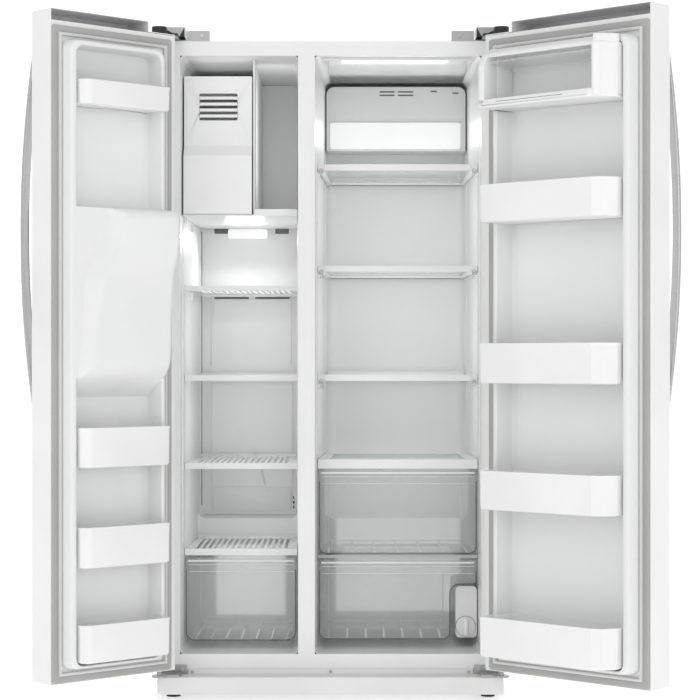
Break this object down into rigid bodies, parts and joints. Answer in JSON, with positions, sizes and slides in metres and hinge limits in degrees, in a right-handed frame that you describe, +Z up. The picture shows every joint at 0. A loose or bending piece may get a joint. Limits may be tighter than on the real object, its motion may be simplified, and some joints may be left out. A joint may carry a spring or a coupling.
{
  "type": "side by side refrigerator",
  "caption": "Tall two-door refrigerator with freezer and fresh-food bays side by side, doors open, shelves, door bins, drawers, ice bucket and in-door dispenser.",
  "frame": {"origin": "on the floor under the middle of the cabinet's footprint", "axes": "+Z up, -Y out of the front, +X to the right of someone facing the front"},
  "size_m": [1.661, 1.1904, 1.774],
  "materials": {
    "door_paint": "gloss",
    "cabinet_paint": "satin",
    "face_paint": "satin",
    "galvanised": "satin",
    "hinge_steel": "satin",
    "screw_steel": "satin",
    "foam": "matte",
    "liner_plastic": "satin",
    "white_plastic": "satin",
    "base_plastic": "matte",
    "clear_plastic": "gloss",
    "shelf_glass": "gloss",
    "lamp_cover": "satin",
    "gasket": "matte",
    "handle_metal": "satin",
    "dark_panel": "gloss",
    "dispenser_plastic": "satin",
    "paddle_plastic": "satin",
    "ice_maker_plastic": "matte",
    "compressor_paint": "satin",
    "coil_metal": "satin",
    "black_plastic": "matte",
    "foot_plastic": "matte",
    "filter_plastic": "satin"
  },
  "bodies": {
    "cabinet": {"outer_wrap": "cabinet_paint", "front_frame": "face_paint", "foam_insulation": "foam", "freezer_liner": "liner_plastic", "fridge_liner": "liner_plastic", "base_frame": "galvanised", "base_cover": "base_plastic", "rear_panel": "galvanised", "machine_cover": "galvanised", "compressor": "compressor_paint", "condenser": "coil_metal", "fan_shroud": "black_plastic", "water_valve": "white_plastic", "evaporator_cover": "liner_plastic", "evaporator": "coil_metal", "freezer_shelves": "white_plastic", "ice_shelf": "liner_plastic", "ice_maker": "ice_maker_plastic", "fridge_duct_cover": "liner_plastic", "lamp_lenses": "lamp_cover", "fridge_shelves": "white_plastic", "shelf_glass": "shelf_glass", "crisper_cover": "white_plastic", "crisper_divider": "white_plastic", "filter_housing": "filter_plastic", "hinge_brackets": "hinge_steel", "cabinet_screws": "screw_steel"},
    "freezer_door": {"freezer_door_shell": "door_paint", "freezer_door_liner": "liner_plastic", "freezer_door_gasket": "gasket", "freezer_handle": "handle_metal", "freezer_bin_1": "white_plastic", "freezer_bin_2": "white_plastic", "freezer_bin_3": "white_plastic", "freezer_bin_4": "white_plastic", "dispenser_housing": "dispenser_plastic", "dispenser_panel": "dark_panel", "dispenser_tray": "paddle_plastic"},
    "fridge_door": {"fridge_door_shell": "door_paint", "fridge_door_liner": "liner_plastic", "fridge_door_gasket": "gasket", "fridge_handle": "handle_metal", "fridge_bin_1": "white_plastic", "fridge_bin_2": "white_plastic", "fridge_bin_3": "white_plastic", "fridge_bin_4": "white_plastic", "dairy_bin": "white_plastic"},
    "ice_paddle": {"ice_paddle": "paddle_plastic"},
    "water_paddle": {"water_paddle": "paddle_plastic"},
    "chute_flap": {"chute_flap": "paddle_plastic"},
    "dairy_cover": {"dairy_cover": "clear_plastic"},
    "freezer_drawer": {"freezer_drawer": "clear_plastic"},
    "crisper_upper": {"crisper_upper": "clear_plastic"},
    "crisper_lower": {"crisper_lower": "clear_plastic"},
    "ice_bucket": {"ice_bucket": "white_plastic"},
    "filter_cartridge": {"filter_cartridge": "filter_plastic"},
    "foot_left": {"foot_left": "foot_plastic"},
    "foot_right": {"foot_right": "foot_plastic"},
    "rear_rollers": {"rear_rollers": "foot_plastic"},
    "condenser_fan": {"condenser_fan": "black_plastic"}
  },
  "joints": [
    {"name": "freezer_door_hinge", "type": "hinge", "parent": "cabinet", "child": "freezer_door", "pos_m": [-0.4475, -0.427, 0.9], "axis": [0, 0, -1], "range_deg": [-137, 0]},
    {"name": "fridge_door_hinge", "type": "hinge", "parent": "cabinet", "child": "fridge_door", "pos_m": [0.4475, -0.427, 0.9], "axis": [0, 0, 1], "range_deg": [-137, 0]},
    {"name": "freezer_drawer_slide", "type": "slide", "parent": "cabinet", "child": "freezer_drawer", "axis": [0, -1, 0], "range_m": [0, 0.28]},
    {"name": "crisper_upper_slide", "type": "slide", "parent": "cabinet", "child": "crisper_upper", "axis": [0, -1, 0], "range_m": [0, 0.24]},
    {"name": "crisper_lower_slide", "type": "slide", "parent": "cabinet", "child": "crisper_lower", "axis": [0, -1, 0], "range_m": [0, 0.24]},
    {"name": "ice_bucket_slide", "type": "slide", "parent": "cabinet", "child": "ice_bucket", "axis": [0, -1, 0], "range_m": [0, 0.16]},
    {"name": "dairy_cover_hinge", "type": "hinge", "parent": "fridge_door", "child": "dairy_cover", "pos_m": [0.5178, -0.69766, 1.648], "axis": [-0.7314, 0.682, 0], "range_deg": [0, 84]},
    {"name": "ice_paddle_push", "type": "hinge", "parent": "freezer_door", "child": "ice_paddle", "pos_m": [-0.52985, -0.56669, 1.126], "axis": [-0.7314, -0.682, 0], "range_deg": [0, 8], "stiffness_Nm_per_rad": 0.15, "springref_deg": -11.46},
    {"name": "water_paddle_push", "type": "hinge", "parent": "freezer_door", "child": "water_paddle", "pos_m": [-0.57373, -0.60761, 1.126], "axis": [-0.7314, -0.682, 0], "range_deg": [0, 8], "stiffness_Nm_per_rad": 0.15, "springref_deg": -11.46},
    {"name": "chute_flap_hinge", "type": "hinge", "parent": "freezer_door", "child": "chute_flap", "pos_m": [-0.5593, -0.57911, 1.141], "axis": [-0.7314, -0.682, 0], "range_deg": [0, 48]},
    {"name": "filter_twist", "type": "hinge", "parent": "cabinet", "child": "filter_cartridge", "pos_m": [0.364, -0.25, 0.174], "axis": [0, -1, 0], "range_deg": [0, 90]},
    {"name": "foot_left_screw", "type": "hinge", "parent": "cabinet", "child": "foot_left", "pos_m": [-0.418, -0.335, 0.03], "axis": [0, 0, 1], "continuous": true},
    {"name": "foot_right_screw", "type": "hinge", "parent": "cabinet", "child": "foot_right", "pos_m": [0.418, -0.335, 0.03], "axis": [0, 0, 1], "continuous": true},
    {"name": "rear_roller_spin", "type": "hinge", "parent": "cabinet", "child": "rear_rollers", "pos_m": [0, 0.3, 0.025], "axis": [1, 0, 0], "continuous": true},
    {"name": "condenser_fan_spin", "type": "hinge", "parent": "cabinet", "child": "condenser_fan", "pos_m": [0.196, 0.25, 0.176], "axis": [1, 0, 0], "continuous": true}
  ],
  "couplings": [
    {"joint": "chute_flap_hinge", "follows": "ice_paddle_push", "ratio": 6}
  ]
}
